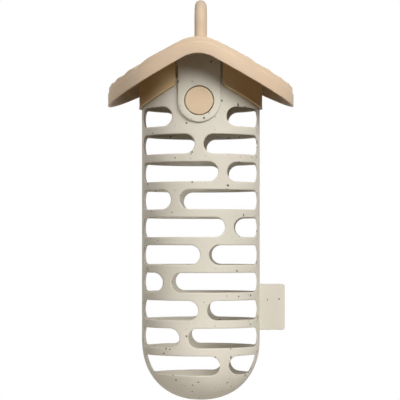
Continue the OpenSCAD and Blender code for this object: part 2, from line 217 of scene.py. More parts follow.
class FeederColours(bpy.types.PropertyGroup):
    roof: colour("Roof", (0.651, 0.509, 0.371), "Beige plastic of the roof and what is moulded with it")
    # The collar's colour is the roof's beige made deeper and warmer: painted shade for the warm shadow under
    # the roof, which always covers the collar.
    collar: colour("Collar", (0.67, 0.5, 0.285), "Beige plastic of the collar")
    loop: colour("Loop", (0.6, 0.474, 0.346), "Beige plastic of the loop")
    button: colour("Button", (0.637, 0.494, 0.34), "Beige plastic of the latches and their buttons")
    basket: colour("Basket", (0.635, 0.602, 0.522), "Pale recycled plastic of the basket")
    fleck: colour("Fleck", (0.07, 0.06, 0.05), "Dark flecks in the recycled plastic")
    steel: colour("Steel", (0.55, 0.55, 0.56), "Zinc plated screws")
    floor: colour("Floor", (0.25, 0.175, 0.085), "Studio floor")
    ambient: colour("Ambient", (1, 0.72, 0.34), "Light from all round")


class FeederStudio(bpy.types.PropertyGroup):
    key: number("Key light", 7.2, "Power of the key light", unit="POWER")
    fill: number("Fill light", 4.2, "Power of the fill light", unit="POWER")
    low: number("Low light", 0.16, "Power of the small light near the floor", unit="POWER")
    ambient: number("Ambient", 0.05, "Strength of the light from all round")
    floor_glow: number("Floor glow", 0.85, "Glow of the floor to the camera")
    lens: number("Lens", 181.6, "Focal length of the camera in millimetres")
    shift_x: number("Shift X", -0.002, "Shift of the picture to the side")
    shift_y: number("Shift Y", 0.1155, "Shift of the picture up")
    distance: length("Camera distance", 1782, "Distance of the camera from the feeder")
    camera_turn: angle("Camera turn", 1.65, "Camera's turn to the right")
    camera_height: length("Camera height", 135.3, "Camera above the basket's lowest point")
    floor_drop: length("Floor", 500, "Floor below the basket's lowest point")


# Grids of points


def grid_faces(rows, columns, wrap):
    """Four corners of every cell of a rows x columns grid; wrap joins the last row or column to the first."""
    row, column = np.meshgrid(np.arange(rows - (not wrap[0])), np.arange(columns - (not wrap[1])),
                              indexing="ij")
    next_row, next_column = (row + 1) % rows, (column + 1) % columns
    corners = [row * columns + column, row * columns + next_column,
               next_row * columns + next_column, next_row * columns + column]
    return np.stack(corners, -1).reshape(-1, 4)


def make_piece(name, sheets, material, node, body=None, sharp=35):
    """One object from several grids of points. Borders that meet are welded, cells without area are
    dropped, each closed shell's faces are turned outwards, and the whole is lowered to the hook. Edges
    sharper than the given angle stay crisp. The object replaces the CAD node, which is hidden."""
    points, faces, start = [], [], 0
    for grid, wrap in sheets:
        rows, columns = grid.shape[:2]
        points.append(grid.reshape(-1, 3))
        faces.append(grid_faces(rows, columns, wrap) + start)
        start += rows * columns
    points, faces = np.concatenate(points), np.concatenate(faces)
    points[:, 2] -= bpy.context.scene.feeder_basket.hook_height
    mesh = bpy.data.meshes.new(name)
    mesh.vertices.add(len(points))
    mesh.vertices.foreach_set("co", points.astype(np.float32).ravel())
    mesh.loops.add(faces.size)
    mesh.loops.foreach_set("vertex_index", faces.astype(np.int32).ravel())
    mesh.polygons.add(len(faces))
    mesh.polygons.foreach_set("loop_start", np.arange(0, faces.size, 4, dtype=np.int32))
    mesh.update(calc_edges=True)
    shell = bmesh.new()
    shell.from_mesh(mesh)
    bmesh.ops.remove_doubles(shell, verts=shell.verts, dist=WELD)
    bmesh.ops.dissolve_degenerate(shell, edges=shell.edges, dist=WELD)
    bmesh.ops.recalc_face_normals(shell, faces=shell.faces)
    shell.to_mesh(mesh)
    shell.free()
    mesh.shade_smooth()
    mesh.set_sharp_from_angle(angle=np.radians(sharp))
    mesh.materials.append(material)
    piece = bpy.data.objects.new(name, mesh)
    bpy.context.scene.collection.objects.link(piece)
    if body:
        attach(piece, body)
    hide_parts(node)
    return piece


def from_xyz(x, y, z):
    """Stacks three arrays, stretched to one shape, into points."""
    return np.stack(np.broadcast_arrays(x, y, z), -1)


def revolve(profile, centre, steps, axis="z"):
    """Turns a (radius, height) profile once round an axis through the centre: x = r cos t, y = r sin t."""
    turn = np.linspace(0, 2 * np.pi, steps, endpoint=False)[:, None]
    radius, height = np.asarray(profile, float).T
    a, b = radius * np.cos(turn), radius * np.sin(turn)
    grid = from_xyz(a, b, height) if axis == "z" else from_xyz(a, height, b)
    return grid + np.asarray(centre), (True, False)


def sweep(path, profile, widths=1, heights=1):
    """Carries a closed profile along a path in an upright plane from front to rear: each point is the
    path's point, plus the profile's two coordinates along X and along the vector square to X and to the
    path, each times its share at that place. Both ends shrink to a point, so that the form is closed."""
    along = np.gradient(path, axis=0)
    along /= np.linalg.norm(along, axis=1, keepdims=True)
    side = np.broadcast_to([1.0, 0, 0], path.shape)
    across = np.cross(along, side)
    widths, heights = (np.broadcast_to(v, len(path))[:, None, None] for v in (widths, heights))
    grid = path[:, None] + profile[None, :, :1] * side[:, None] * widths
    grid = grid + profile[None, :, 1:] * across[:, None] * heights
    ends = [np.repeat(grid[i].mean(0)[None, None], len(profile), 1) for i in (0, -1)]
    return np.concatenate([ends[0], grid, ends[1]]), (False, True)


def rounded_rectangle(half_width, half_height, corner, steps=5):
    """Outline of a rectangle with round corners: a quarter circle at each corner in turn."""
    turn = np.linspace(0, QUARTER, steps)
    arcs = []
    for quarter, (a, b) in enumerate([(1, 1), (-1, 1), (-1, -1), (1, -1)]):
        angle = turn + quarter * QUARTER
        arcs.append(np.stack([a * (half_width - corner) + corner * np.cos(angle),
                              b * (half_height - corner) + corner * np.sin(angle)], -1))
    return np.concatenate(arcs)


def outward_normals(outline):
    """Unit normals of a closed counterclockwise outline: the chord over two steps, turned a quarter right."""
    chord = np.roll(outline, -1, 0) - np.roll(outline, 1, 0)
    normal = np.stack([chord[:, 1], -chord[:, 0]], -1)
    return normal / np.linalg.norm(normal, axis=1, keepdims=True)


def rounded_block(outline, low, high, edge, steps=4):
    """Straight block on an outline with rounded edges: each ring is the outline drawn in by r(1 - sin t)
    at r(1 - cos t) from the end, and the flat ends close in their middle."""
    normal, middle = outward_normals(outline), outline.mean(0)
    rounds = quarter_round(steps)
    rings = [from_xyz(*middle, np.full(len(outline), low))]
    for end, way, shares in ((low, edge, rounds), (high, -edge, rounds[::-1])):
        rings += [from_xyz(*(outline - normal * edge * aside).T, end + way * depth)
                  for aside, depth in shares]
    rings.append(from_xyz(*middle, np.full(len(outline), high)))
    return np.stack(rings), (False, True)


def quarter_round(steps):
    """Shares across and along a quarter round: (1 - sin t, 1 - cos t), from the face to the side."""
    turn = np.linspace(0, QUARTER, steps)
    return np.stack([1 - np.sin(turn), 1 - np.cos(turn)], -1)


def smooth_step(value):
    """Smooth rise from 0 to 1 over the same range: v^2 (3 - 2 v)."""
    value = np.clip(value, 0, 1)
    return value * value * (3 - 2 * value)


# Basket


def bowl_radius(height, depth, sizes):
    """Radius of the basket at a height and at a depth in its wall. Outside and inside follow
    (r/R)^p + (drop/h)^p = 1 in the bottom and stay straight above it, and the depth runs between them."""
    power = sizes.bowl_power

    def skin(radius, tall, bottom):
        """Radius of one skin: r = R (1 - (drop/h)^p)^(1/p)."""
        drop = np.clip((bottom + tall - height) / tall, 0, 1)
        return radius * (1 - drop ** power) ** (1 / power)

    outer = skin(sizes.radius, sizes.bowl_height, 0)
    inner = skin(sizes.radius - sizes.wall, sizes.bowl_height - sizes.wall, sizes.wall)
    return outer + (inner - outer) * depth / sizes.wall


def bowl_height(radius, inside, sizes):
    """Height of the bottom's outer or inner skin at a radius: the same curve, solved for the drop."""
    inset = sizes.wall if inside else 0
    tall = sizes.bowl_height - inset
    share = np.clip(radius / (sizes.radius - inset), 0, 1)
    return inset + tall - tall * (1 - share ** sizes.bowl_power) ** (1 / sizes.bowl_power)


def on_wall(turn, height, depth, sizes):
    """Point of the wall at an angle from the front, a height and a depth: x = r sin a, y = -r cos a."""
    radius = bowl_radius(height, depth, sizes)
    return from_xyz(radius * np.sin(turn), -radius * np.cos(turn), height)


def slot_outline(middle_x, height, side, turns, sizes):
    """Closed outline of one slot, counterclockwise from the lower corner at the rib: the bowed end
    at the rib with small round corners, the straight top, the half circle at the post, the straight
    bottom. The bowed end stays inside the basket's inner skin."""
    half, corner = sizes.slot_height / 2, sizes.corner
    inner = sizes.radius - sizes.wall
    bow_radius = (half ** 2 + sizes.end_bow ** 2) / (2 * sizes.end_bow)
    arc = np.linspace(0, QUARTER, CORNER_POINTS)
    run = np.linspace(-1, 1, BOW_POINTS + 2)[1:-1] * (half - corner)
    rise = np.concatenate([corner - half - corner * np.cos(arc), run, half - corner + corner * np.sin(arc)])
    pull = np.concatenate([corner * (1 - np.sin(arc)), 0 * run, corner * (1 - np.cos(arc))])
    end = inner - bow_radius + np.sqrt(bow_radius ** 2 - rise ** 2)
    end = np.minimum(end, bowl_radius(height + rise, sizes.wall, sizes)) - pull
    post = middle_x * side
    top = np.linspace(end[-1], post, turns + 1)[1:-1]
    half_turn = np.linspace(QUARTER, 3 * QUARTER, len(rise))
    bottom = np.linspace(post, end[0], turns + 1)[1:-1]
    x = np.concatenate([end, top, post + half * np.cos(half_turn), bottom])
    z = np.concatenate([rise, np.full(len(top), half), half * np.sin(half_turn), np.full(len(bottom), -half)])
    outline = np.stack([x, z], -1)
    normal = outward_normals(outline)
    flip = np.array([side, 1])
    return outline * flip + np.array([0, height]), normal * flip


def slot_cell(row, side, split, sizes, tongue):
    """Part of the wall round one slot, between the rib's middle and the post's: rings of points lead from
    the cell's border over the outer skin to the slot, over its rounded lips, and back over the inner skin."""
    height = sizes.first_slot - row * sizes.slot_pitch
    solid = sizes.post_width if row else tongue.width + 2 * tongue.land
    middle_x = POST_X[row] * MM + side * (solid + sizes.slot_height) / 2
    turns = int(round((QUARTER - side * split) / COLUMN_STEP))
    outline, normal = slot_outline(middle_x, height, side, turns, sizes)
    low, high = height - sizes.slot_pitch / 2, height + sizes.slot_pitch / 2
    rib_z = outline[:END_POINTS, 1].copy()
    rib_z[0], rib_z[-1] = low, high
    border = cell_border(rib_z, np.linspace(side * QUARTER, split, turns + 1),
                         np.linspace(high, low, END_POINTS))
    return wall_round_hole(outline, normal, border, sizes)


def cell_border(rise, across, fall):
    """Closed border (angle, height) of a part of the wall: up its first side through the heights of rise,
    across its top, down its other side through those of fall, and back along its foot."""
    run = across[1:-1]
    turn = [np.full(len(rise), across[0]), run, np.full(len(fall), across[-1]), run[::-1]]
    height = [rise, np.full(len(run), rise[-1]), fall, np.full(len(run), rise[0])]
    return np.stack([np.concatenate(turn), np.concatenate(height)], -1)


def wall_round_hole(outline, normal, border, sizes):
    """Rings of points from a border (angle, height) over the outer skin to a hole seen from the front
    (x, height), through the wall over quarter round lips, and back over the inner skin. The inner lip
    fades out where the hole meets the inner skin edge on."""
    room = bowl_radius(outline[:, 1], sizes.wall, sizes) - np.abs(outline[:, 0])
    fade = 3 * MM
    inner_lip = sizes.lip * smooth_step(room / fade)

    def ring(aside, depth):
        """Angle, height and depth of the hole's outline, drawn out by a distance."""
        spot = outline + normal * np.reshape(aside, (-1, 1))
        radius = bowl_radius(spot[:, 1], depth, sizes)
        return np.arcsin(np.clip(spot[:, 0] / radius, -1, 1)), spot[:, 1], depth

    def skin(aside, depth, shares):
        """Rings that lie at these shares of the way from the border to the hole."""
        turn, height, _ = ring(aside, depth)
        return [on_wall(border[:, 0] + (turn - border[:, 0]) * s,
                        border[:, 1] + (height - border[:, 1]) * s, depth, sizes) for s in shares]

    rings = skin(sizes.lip, 0, (0, 0.35, 0.7))
    for aside, depth in quarter_round(5):
        rings.append(on_wall(*ring(sizes.lip * aside, sizes.lip * depth), sizes))
    for aside, depth in quarter_round(4)[::-1]:
        rings.append(on_wall(*ring(inner_lip * aside, sizes.wall - inner_lip * depth), sizes))
    rings += skin(inner_lip, sizes.wall, (0.5, 0))
    return np.stack(rings), (False, True)


def mirrored(sheets):
    """The sheets and their mirror images across the plane of the ribs."""
    return sheets + [(grid * np.array([1, -1, 1]), wrap) for grid, wrap in sheets]


def basket_sheets(sizes, tongue, latch):
    """All grids of the basket's shell: a cell round each slot, the land behind each tongue, the plain
    wall and rounded mouth above, and the bottom with its drain holes."""
    sheets = []
    land = np.ceil(np.arcsin(tongue.width / 2 / sizes.radius) / COLUMN_STEP - 0.5) * COLUMN_STEP
    for row in range(sizes.rows):
        for side in (-1, 1):
            centre = side * land if row == 0 else np.arcsin(POST_X[row] * MM / sizes.radius)
            split = np.round(centre / COLUMN_STEP) * COLUMN_STEP
            sheets.append(slot_cell(row, side, split, sizes, tongue))
    row_top = sizes.first_slot + sizes.slot_pitch / 2
    row_foot = sizes.first_slot - sizes.slot_pitch / 2
    brim = sizes.mouth - sizes.lip
    upper = np.linspace(row_top, brim, 7)
    for side in (-1, 1):
        columns = np.linspace(side * land, side * QUARTER, int(round((QUARTER - land) / COLUMN_STEP)) + 1)
        for depth in (0, sizes.wall):
            sheets.append((on_wall(columns[:, None], upper[None], depth, sizes), (False, False)))
    columns = np.linspace(-QUARTER, QUARTER, int(round(2 * QUARTER / COLUMN_STEP)) + 1)
    turn = np.linspace(0, 2 * QUARTER, 9)
    middle = sizes.wall / 2
    sheets.append((on_wall(columns[:, None], brim + middle * np.sin(turn)[None],
                           (middle - middle * np.cos(turn))[None], sizes), (False, False)))
    sides = np.concatenate([np.linspace(row_foot, row_top, END_POINTS)[:-1], upper])
    across = np.linspace(land, -land, int(round(2 * land / COLUMN_STEP)) + 1)
    border = cell_border(sides, across, sides[::-1])
    seen = np.stack([np.sin(border[:, 0]) * sizes.radius, border[:, 1] - latch.height], -1)
    seen /= np.linalg.norm(seen, axis=1, keepdims=True)
    hole = latch.button / 2 + latch.gap + (tongue.width / 2 - latch.button / 2) / 3
    sheets.append(wall_round_hole(seen * hole + np.array([0, latch.height]), seen, border, sizes))
    return mirrored(sheets) + bottom_sheets(sizes)


def bottom_sheets(sizes):
    """The rounded bottom below the last slots: rings of both skins, then a cell round each outer drain
    hole and a ring round the middle one. In a cell, points go straight from the hole to the border."""
    sheets = []
    low = sizes.first_slot - (sizes.rows - 0.5) * sizes.slot_pitch
    reach = 1.5 * sizes.drain_ring
    turn = np.arange(0, 4 * QUARTER - COLUMN_STEP / 2, COLUMN_STEP)
    for inside in (False, True):
        top = bowl_radius(low, sizes.wall if inside else 0, sizes)
        radius = np.linspace(top, reach, 11)[:, None]
        grid = from_xyz(radius * np.sin(turn), -radius * np.cos(turn), bowl_height(radius, inside, sizes))
        sheets.append((grid, (False, True)))
    near = sizes.drain_ring / 2
    hole, lip = sizes.drain / 2, sizes.lip / 2

    def through(outer_spots, outline, normal, shares):
        """Rings of points from a border over the outer skin, through a hole, and back over the inner one."""
        rings = []
        for inside in (False, True):
            skin = []
            for s in shares:
                spot = outer_spots + (outline + normal * lip - outer_spots) * s
                skin.append(from_xyz(*spot.T, bowl_height(np.linalg.norm(spot, axis=1), inside, sizes)))
            for aside, depth in quarter_round(4):
                spot = outline + normal * lip * aside
                height = bowl_height(np.linalg.norm(spot, axis=1), inside, sizes)
                skin.append(from_xyz(*spot.T, height + (-1 if inside else 1) * lip * depth))
            rings += skin[::-1] if inside else skin
        return np.stack(rings), (False, True)

    arc = np.linspace(0, QUARTER, int(round(QUARTER / COLUMN_STEP)) + 1)
    sides = np.linspace(near, reach, 9)[1:-1]
    for quarter in range(4):
        border = np.concatenate([
            reach * np.stack([np.sin(arc), -np.cos(arc)], -1),
            np.stack([sides[::-1], 0 * sides], -1),
            near * np.stack([np.sin(arc[::-1]), -np.cos(arc[::-1])], -1),
            np.stack([0 * sides, -sides], -1)])
        spin = np.array([[np.cos(quarter * QUARTER), -np.sin(quarter * QUARTER)],
                         [np.sin(quarter * QUARTER), np.cos(quarter * QUARTER)]])
        border = border @ spin.T
        centre = spin @ np.array([1, -1]) * sizes.drain_ring * np.sqrt(0.5)
        ray = (border - centre) / np.linalg.norm(border - centre, axis=1, keepdims=True)
        sheets.append(through(border, centre + ray * hole, ray, (0, 0.4, 0.75)))
    ray = np.stack([np.sin(turn), -np.cos(turn)], -1)
    sheets.append(through(ray * near, ray * hole, ray, (0, 0.5)))
    return sheets


def tongue_sheet(face, sizes, tongue, latch, roof):
    """A tongue: a curved plate as thick as wall and pad together, with the button's hole. Rings of points
    lead from the hole over its lip and the face, over the soft outer edge and the hollow foot, and back
    inside. Seen from the front the outline is a half circle below, straight sides, and the gable above."""
    half = tongue.width / 2
    top_lift = roll_lift(0, under_radius(roof), roof) - roof.under_gap
    low_turn = np.linspace(-np.pi, 0, 61)
    low_arc = np.stack([half * np.cos(low_turn), latch.height + half * np.sin(low_turn)], -1)
    corner_z = gable_height(half, top_lift, roof)
    rise = np.linspace(latch.height, corner_z, 25)[1:]
    cross = np.linspace(half, -half, 41)
    top = np.stack([cross, gable_height(cross, top_lift, roof)], -1)
    outline = np.concatenate([low_arc, from_xyz(half, rise, 0)[:, :2], top[1:],
                              from_xyz(-half, rise[-2::-1], 0)[:, :2]])
    normal = outward_normals(outline)
    centre = np.array([0, latch.height])
    ray = (outline - centre) / np.linalg.norm(outline - centre, axis=1, keepdims=True)
    hole = centre + ray * (latch.button / 2 + latch.gap)
    # The back and the foot's end lie inside the wall by these, so that no two faces share a plane
    back_sink, foot_sink = 0.05 * MM, 0.06 * MM
    pad, back = sizes.radius + tongue.proud, sizes.radius - sizes.wall - back_sink
    lip = 0.8 * sizes.lip
    fade, fade_end = 5 * MM, sizes.mouth - 1 * MM
    foot = tongue.foot * (1 - smooth_step((outline[:, 1] - fade_end) / fade + 1))[:, None]

    def ring(spots, radius):
        """Spots seen from the front (x, height), laid on a cylinder: y = sqrt(r^2 - x^2)."""
        return from_xyz(spots[:, 0], face * np.sqrt(radius ** 2 - spots[:, 0] ** 2), spots[:, 1])

    rings = [ring(hole + ray * lip * aside, pad - lip * depth) for aside, depth in quarter_round(5)[::-1]]
    start, stop = hole + ray * lip, outline - normal * tongue.edge
    rings += [ring(start + (stop - start) * s, pad) for s in (0.3, 0.65)]
    rings += [ring(outline - normal * tongue.edge * aside, pad - tongue.edge * depth)
              for aside, depth in quarter_round(5)]
    rings += [ring(outline + normal * foot * depth, sizes.radius - foot_sink + foot[:, 0] * aside)
              for aside, depth in quarter_round(4)]
    rings += [ring(outline + normal * foot / 2, sizes.radius - sizes.wall / 2), ring(outline, back),
              ring(hole, back)]
    return np.stack(rings), (True, True)


# Roof


def gable_height(x, lift, roof):
    """Height of the gable line that lies this far above the rim's lower edge: an arc of the ridge's
    radius plus the lift over the middle, and the straight slope beyond its tangent point."""
    radius = roof.ridge_radius + lift
    middle = roof.rim_cross - roof.ridge_radius / np.cos(roof.slope)
    bend = radius * np.sin(roof.slope)
    arc = middle + np.sqrt(radius ** 2 - np.minimum(np.abs(x), bend) ** 2)
    line = middle + radius / np.cos(roof.slope) - np.abs(x) * np.tan(roof.slope)
    return np.where(np.abs(x) < bend, arc, line)


def roll_radius(roof):
    """Radius of a roll's round top, from its pitch and its rise over the valleys."""
    return ((roof.roll_pitch / 2) ** 2 + roof.roll_rise ** 2) / (2 * roof.roll_rise)


def under_radius(roof):
    """Radius of a roll's hollow underside."""
    return roll_radius(roof) - roof.deck_wall


def roll_lift(y, radius, roof):
    """Lift of the rolled deck at a depth y: the round tops of the nearest two rolls, joined by a smooth
    maximum, so that the valley between them is soft."""
    pitch, soft = roof.roll_pitch, roof.valley
    near = (np.floor(y / pitch) + 0.5) * pitch
    far = near + np.where(y >= near, pitch, -pitch)
    level = roof.crest - roll_radius(roof)
    near_top, far_top = (level + np.sqrt(np.maximum(radius ** 2 - (y - c) ** 2, 0)) for c in (near, far))
    share = np.clip(0.5 + (near_top - far_top) / (2 * soft), 0, 1)
    return far_top + (near_top - far_top) * share + soft * share * (1 - share)


def roll_angles(radius, roof, steps=14):
    """Angles from the side to the front at which the rim is cut, closer together at each valley."""
    share = (1 - np.cos(np.pi * np.arange(steps) / steps)) / 2
    valleys = np.arange(0, radius, roof.roll_pitch)
    rows = (valleys[:-1, None] + roof.roll_pitch * share).ravel()
    last = np.arcsin(valleys[-1] / radius)
    quarter = np.concatenate([np.arcsin(rows / radius), last + (QUARTER - last) * share, [QUARTER]])
    return np.concatenate([-quarter[:0:-1], quarter])


def roof_sheets(roof):
    """The roof's shell: the rolled deck above, its edge and the rim band, and the rolled underside. The
    deck's grid has rows of constant depth, from side to side, and the edge's grid runs round the rim."""
    edge, brim, foot, hollow = roof.deck_edge, roof.brim, roof.foot, roof.hollow
    deck, rim, inner = roof.radius - roof.band_proud, roof.radius, roof.radius - roof.rim_wall
    upper, under = roll_radius(roof), under_radius(roof)
    sheets, loops = [], []
    for radius, roll in ((deck - edge, upper), (inner - hollow, under)):
        half = roll_angles(radius, roof)
        loops.append(np.concatenate([half, np.pi - half[-2:0:-1]]))
        x = radius * np.cos(half)[:, None] * np.linspace(-1, 1, 97)
        y = np.broadcast_to(radius * np.sin(half)[:, None], x.shape)
        sheets.append((from_xyz(x, y, gable_height(x, roll_lift(y, roll, roof), roof)), (False, False)))

    def ring(radius, lift, inward=0):
        """One ring round the rim. Its lift is a number, or follows the rows of the deck that it meets."""
        turn = loops[0] + (loops[1] - loops[0]) * inward
        row = (deck - edge + (inner - hollow - deck + edge) * inward) * np.sin(turn)
        x, y = radius * np.cos(turn), radius * np.sin(turn)
        return from_xyz(x, y, gable_height(x, lift(row) if callable(lift) else lift, roof))

    rounds = quarter_round(5)
    rings = [ring(deck - edge * a, lambda y: roll_lift(y, upper, roof) - edge * d) for a, d in rounds]
    short, long = 0.05 * MM, 0.2 * MM
    rings += [ring(deck + short, roof.band + long), ring(deck + long, roof.band + short)]
    rings += [ring(rim - brim * a, roof.band - brim * d) for a, d in rounds]
    rings += [ring(rim, roof.band * 0.5)]
    rings += [ring(rim - foot * d, foot * a) for a, d in rounds]
    rings += [ring(inner + foot * a, foot * d, 0.5) for a, d in rounds]
    rings += [ring(inner, roof.band * 0.6, 0.8)]
    rings += [ring(inner - hollow * a, lambda y: roll_lift(y, under, roof) - hollow * d, 1)
              for d, a in rounds]
    sheets.append((np.stack(rings), (False, True)))
    return sheets


# Collar


def collar_sheets(roof, collar, basket, tongue):
    """The collar: two curved panels between the tongues, and inside them the flat ring with its ears.
    A panel's section is a closed band from its lower to its upper edge with a bead along the lower one,
    carried round from the front notch to the rear one; its lower edge follows the gable and turns up in
    a quarter circle at the notch."""
    inner, outer = basket.radius + collar.fit, basket.radius + collar.fit + collar.wall
    notch, corner = tongue.width / 2 + collar.notch_gap, collar.notch_corner
    slope, middle = roof.slope, collar.wall / 2
    cross = roof.rim_cross - collar.drop / np.cos(slope)
    round_x = notch + corner
    round_z = cross - round_x * np.tan(slope) + corner / np.cos(slope)
    bend = np.linspace(0, QUARTER - slope, 9)
    near = round_x - corner * np.cos(bend)
    across = np.linspace(np.arcsin(near[-1] / outer), QUARTER, 26)[1:]
    x = np.concatenate([near, outer * np.sin(across)])
    low = np.concatenate([round_z - corner * np.sin(bend), cross - x[len(near):] * np.tan(slope)])
    high = gable_height(x, roll_lift(0, under_radius(roof), roof) - roof.under_gap, roof)
    aside, along = 0.7 * middle * quarter_round(5).T
    bead_top, bead_end = 1.2 * MM, 1.6 * MM
    depth = np.concatenate([along[::-1] - middle, np.full(3, -middle), np.full(3, middle), middle - along])
    rise = np.concatenate([aside[::-1], [bead_top, bead_end, 0], [0, bead_end, bead_top], aside])
    upper = np.zeros(len(rise))
    upper[len(aside) + 2:len(aside) + 4] = 1
    bead = np.where((depth > 0) & (upper == 0) & (rise < (bead_top + bead_end) / 2), collar.bead, 0)
    radius = (inner + outer) / 2 + depth + bead
    spot_x = np.minimum(x[:, None] / outer, 1) * radius
    blend_width = 8 * MM
    keep_x = smooth_step((x[:, None] - round_x) / blend_width)
    spot_x = x[:, None] + (spot_x - x[:, None]) * keep_x
    z = (low[:, None] + rise) * (1 - upper) + high[:, None] * upper
    quarter = from_xyz(spot_x, -np.sqrt(np.maximum(radius ** 2 - spot_x ** 2, 0)), z)
    cap_radius = (inner + outer) / 2
    cap = from_xyz(quarter[:1, :, 0], -np.sqrt(cap_radius ** 2 - quarter[:1, :, 0] ** 2), quarter[:1, :, 2])
    quarter = np.concatenate([cap, quarter])
    rear = quarter[-2::-1] * np.array([1, -1, 1])
    panel = np.concatenate([quarter, rear])
    sheets = [(panel, (False, True)), (panel * np.array([-1, 1, 1]), (False, True))]
    turn = np.linspace(0, 4 * QUARTER, 240, endpoint=False)
    ears = np.array([1, -1, 1, -1]) * collar.ear_turn + np.array([0, 2, 2, 4]) * QUARTER
    aside = np.abs(np.angle(np.exp(1j * (turn[:, None] - ears)))).min(1) * collar.ear_reach
    soft = 3 * MM
    reach = collar.ring + (outer - middle - collar.ring) * smooth_step((collar.ear - aside) / soft + 0.5)
    section = rounded_rectangle(0.5, collar.ear_thick / 2, collar.ear_edge, 3)
    inside = collar.ring - collar.ring_width
    radial = inside + (reach[:, None] - inside) * (section[:, 0] + 0.5)
    ring = from_xyz(radial * np.cos(turn)[:, None], radial * np.sin(turn)[:, None],
                    basket.mouth + collar.seat + collar.ear_thick / 2 + section[:, 1][None])
    sheets.append((ring, (True, True)))
    return sheets


# Latches, loop, screws and tag


def latch_sheets(face, latch, basket, tongue):
    """A latch: the button as a cup turned round its own axis, and the foot and spring arm as one strip
    carried along an L-shaped path with a round bend. The strip is wider and thicker at the foot."""
    front = basket.radius + tongue.proud - latch.sink
    radius, rim = latch.button / 2, latch.rim
    back = latch.arm_reach - latch.arm
    hollow, skin, bevel = radius - latch.arm, latch.arm / 2, 0.3 * MM
    rounds = quarter_round(6)
    profile = [[0, front]] + [[radius - rim * a, front - rim * d] for a, d in rounds]
    profile += [[radius, back + bevel], [radius - bevel, back], [hollow + bevel, back],
                [hollow, back + bevel], [hollow, front - skin - rim], [hollow - rim, front - skin],
                [0, front - skin]]
    cup, wrap = revolve(np.array(profile) * np.array([1, face]), (0, 0, latch.height), 96, "y")
    arm_y = latch.arm_reach - latch.arm / 2
    foot_z = latch.foot_top - latch.foot / 2
    bend = latch.bend
    turn = np.linspace(0, QUARTER, 9)
    flat = np.linspace(latch.arm_reach - latch.foot_length, arm_y - bend, 8)
    drop = np.linspace(foot_z - bend, latch.height + radius * 0.55, 14)
    y = np.concatenate([flat, arm_y - bend + bend * np.sin(turn[1:]), np.full(len(drop) - 1, arm_y)])
    z = np.concatenate([np.full(len(flat), foot_z), foot_z - bend + bend * np.cos(turn[1:]), drop[1:]])
    path = from_xyz(0, face * y, z)
    slim = smooth_step((np.arange(len(path)) - 5) / 8)
    section = rounded_rectangle(latch.foot_width / 2, latch.foot / 2, latch.strip_edge)
    strip = sweep(path, section, 1 + (latch.arm_width / latch.foot_width - 1) * slim,
                  1 + (latch.arm / latch.foot - 1) * slim)
    return [(cup, wrap), strip]


def loop_sheets(loop, roof):
    """The loop: a round rod carried up one leg, over a half circle and down the other leg."""
    radius = loop.rod / 2
    crown = gable_height(0, roof.crest, roof) + loop.stand
    bend_z = crown - loop.leg - radius
    rise = np.linspace(loop.socket, bend_z, 12)[:-1]
    turn = np.linspace(0, 2 * QUARTER, 49)
    leg = np.full(len(rise), loop.leg)
    y = np.concatenate([-leg, -loop.leg * np.cos(turn), leg])
    z = np.concatenate([rise, bend_z + loop.leg * np.sin(turn), rise[::-1]])
    ring = np.linspace(0, 2 * np.pi, 40, endpoint=False)
    profile = radius * np.stack([np.cos(ring), np.sin(ring)], -1)
    return [sweep(from_xyz(0, y, z), profile)]


def lid_screw_places(screws, collar, latch, basket):
    """The eight lid screws' places: x, y, and the lower and upper face of the ear or foot that each holds."""
    floor = basket.mouth + collar.seat
    ear = (collar.ear_reach * np.cos(collar.ear_turn), collar.ear_reach * np.sin(collar.ear_turn),
           floor, floor + collar.ear_thick)
    foot = (screws.foot_x, latch.arm_reach - screws.foot_back, latch.foot_top - latch.foot, latch.foot_top)
    return [np.array([right, rear, 1, 1]) * place for place in (ear, foot)
            for right in (-1, 1) for rear in (-1, 1)]


def under_roof_sheets(roof, loop, screws, places):
    """The pads that hold the loop's legs, and the posts moulded under the deck for the screws."""
    half = loop.rod / 2 + loop.socket_wall
    top = gable_height(0, roof.crest, roof) + roof.pad_proud
    sheets = []
    for y in (-loop.leg, loop.leg):
        outline = rounded_rectangle(half, half, loop.pad_corner) + np.array([0, y])
        sheets.append(rounded_block(outline, loop.socket - loop.socket_floor, top, loop.pad_edge))
    for x, y, _, low in places:
        high = float(gable_height(abs(x), roof.crest - roof.deck_wall / 2 - roof.roll_rise, roof))
        profile = [[0, low], [screws.boss - screws.boss_edge, low], [screws.boss, low + screws.boss_edge],
                   [screws.boss, high], [0, high]]
        sheets.append(revolve(profile, (x, y, 0), 32))
    return sheets


